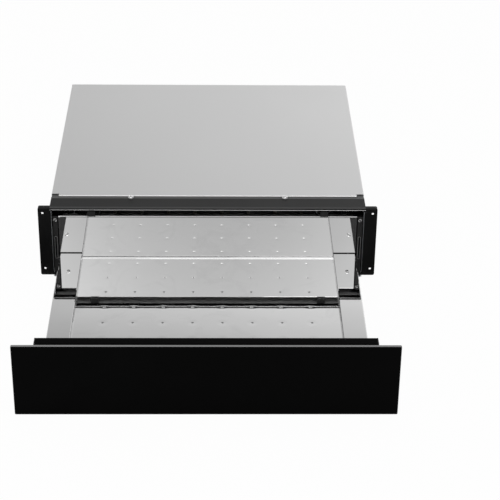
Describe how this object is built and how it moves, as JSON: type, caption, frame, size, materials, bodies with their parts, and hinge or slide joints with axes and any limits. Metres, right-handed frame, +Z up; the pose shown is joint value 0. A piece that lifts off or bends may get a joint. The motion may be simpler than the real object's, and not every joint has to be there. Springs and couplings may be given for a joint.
{
  "type": "built in warming drawer",
  "caption": "Built-in warming drawer: black glass front, mirror-polished steel tray on ball-bearing telescopic slides, in a steel casing with a black front frame for a kitchen niche.",
  "frame": {"origin": "middle of the casing's underside, the face that rests on the niche's shelf", "axes": "+Z up, -Y towards the person who opens the drawer, +X to that person's right; stored with the drawer fully open"},
  "size_m": [0.595, 0.9474, 0.1446],
  "materials": {
    "mirror_steel": "mirror-polished stainless steel",
    "satin_steel": "satin sheet steel",
    "zinc_steel": "zinc-coated sheet steel, faint spangle",
    "black_paint": "black powder coat, half gloss",
    "deep_black_paint": "deep black powder coat, matt",
    "grey_paint": "dark grey enamel, half matt",
    "black_steel": "black-coated bracket steel",
    "black_glass": "opaque back-printed black glass",
    "rail_steel": "bright zinc-plated slide steel",
    "ball_steel": "polished balls in a pressed cage",
    "screw_steel": "bright plated screw",
    "rubber": "soft black rubber",
    "black_plastic": "fine-grained black plastic",
    "grey_plastic": "fine-grained grey plastic",
    "ceramic": "unglazed steatite",
    "mineral_wool": "pressed mineral-fibre board",
    "heater_sheath": "oxidised heater sheath",
    "silicone_lead": "silicone-covered lead"
  },
  "bodies": {
    "chassis": {"base_pan": "zinc_steel", "right_side_panel": "zinc_steel", "left_side_panel": "zinc_steel", "back_panel": "zinc_steel", "heat_reflector": "zinc_steel", "front_tube_rack": "zinc_steel", "rear_tube_rack": "zinc_steel", "latch_bracket": "zinc_steel", "top_cover": "satin_steel", "cap_rail": "grey_paint", "front_frame": "black_paint", "top_rail": "deep_black_paint", "right_cover_screw": "screw_steel", "left_cover_screw": "screw_steel", "right_hanger_screw": "screw_steel", "left_hanger_screw": "screw_steel", "right_rail_bracket": "black_steel", "left_rail_bracket": "black_steel", "right_outer_rail": "rail_steel", "left_outer_rail": "rail_steel", "thermostat": "black_plastic", "cable_gland": "black_plastic", "insulation_mat": "mineral_wool", "heating_element": "heater_sheath", "thermal_cutout": "ceramic", "terminal_block": "ceramic", "right_heater_lead": "silicone_lead", "left_heater_lead": "silicone_lead", "latch_housing": "grey_plastic"},
    "drawer": {"glass_panel": "black_glass", "lower_tape": "rubber", "upper_tape": "rubber", "front_beam": "deep_black_paint", "right_end_cap": "black_plastic", "left_end_cap": "black_plastic", "right_buffer": "rubber", "left_buffer": "rubber", "floor_plate": "mirror_steel", "right_ledge": "mirror_steel", "left_ledge": "mirror_steel", "back_wall": "mirror_steel", "right_wall_screw": "screw_steel", "left_wall_screw": "screw_steel", "latch_striker": "zinc_steel", "right_inner_rail": "rail_steel", "left_inner_rail": "rail_steel"},
    "right_middle_rail": {"right_middle_rail": "rail_steel"},
    "right_outer_cage": {"right_outer_ball_cage": "ball_steel"},
    "right_inner_cage": {"right_inner_ball_cage": "ball_steel"},
    "left_middle_rail": {"left_middle_rail": "rail_steel"},
    "left_outer_cage": {"left_outer_ball_cage": "ball_steel"},
    "left_inner_cage": {"left_inner_ball_cage": "ball_steel"},
    "latch_plunger": {"latch_plunger": "black_plastic"}
  },
  "joints": [
    {"name": "drawer_slide", "type": "slide", "parent": "chassis", "child": "drawer", "axis": [0, 1, 0], "range_m": [0, 0.393]},
    {"name": "right_middle_rail_slide", "type": "slide", "parent": "chassis", "child": "right_middle_rail", "axis": [0, 1, 0], "range_m": [0, 0.1965]},
    {"name": "right_outer_cage_slide", "type": "slide", "parent": "chassis", "child": "right_outer_cage", "axis": [0, 1, 0], "range_m": [0, 0.09825]},
    {"name": "right_inner_cage_slide", "type": "slide", "parent": "chassis", "child": "right_inner_cage", "axis": [0, 1, 0], "range_m": [0, 0.29475]},
    {"name": "left_middle_rail_slide", "type": "slide", "parent": "chassis", "child": "left_middle_rail", "axis": [0, 1, 0], "range_m": [0, 0.1965]},
    {"name": "left_outer_cage_slide", "type": "slide", "parent": "chassis", "child": "left_outer_cage", "axis": [0, 1, 0], "range_m": [0, 0.09825]},
    {"name": "left_inner_cage_slide", "type": "slide", "parent": "chassis", "child": "left_inner_cage", "axis": [0, 1, 0], "range_m": [0, 0.29475]},
    {"name": "plunger_slide", "type": "slide", "parent": "chassis", "child": "latch_plunger", "axis": [0, 1, 0], "range_m": [0, 0.004], "stiffness_N_per_m": 100}
  ],
  "couplings": [
    {"joint": "right_middle_rail_slide", "follows": "drawer_slide", "ratio": 0.5},
    {"joint": "right_outer_cage_slide", "follows": "drawer_slide", "ratio": 0.25},
    {"joint": "right_inner_cage_slide", "follows": "drawer_slide", "ratio": 0.75},
    {"joint": "left_middle_rail_slide", "follows": "drawer_slide", "ratio": 0.5},
    {"joint": "left_outer_cage_slide", "follows": "drawer_slide", "ratio": 0.25},
    {"joint": "left_inner_cage_slide", "follows": "drawer_slide", "ratio": 0.75}
  ]
}
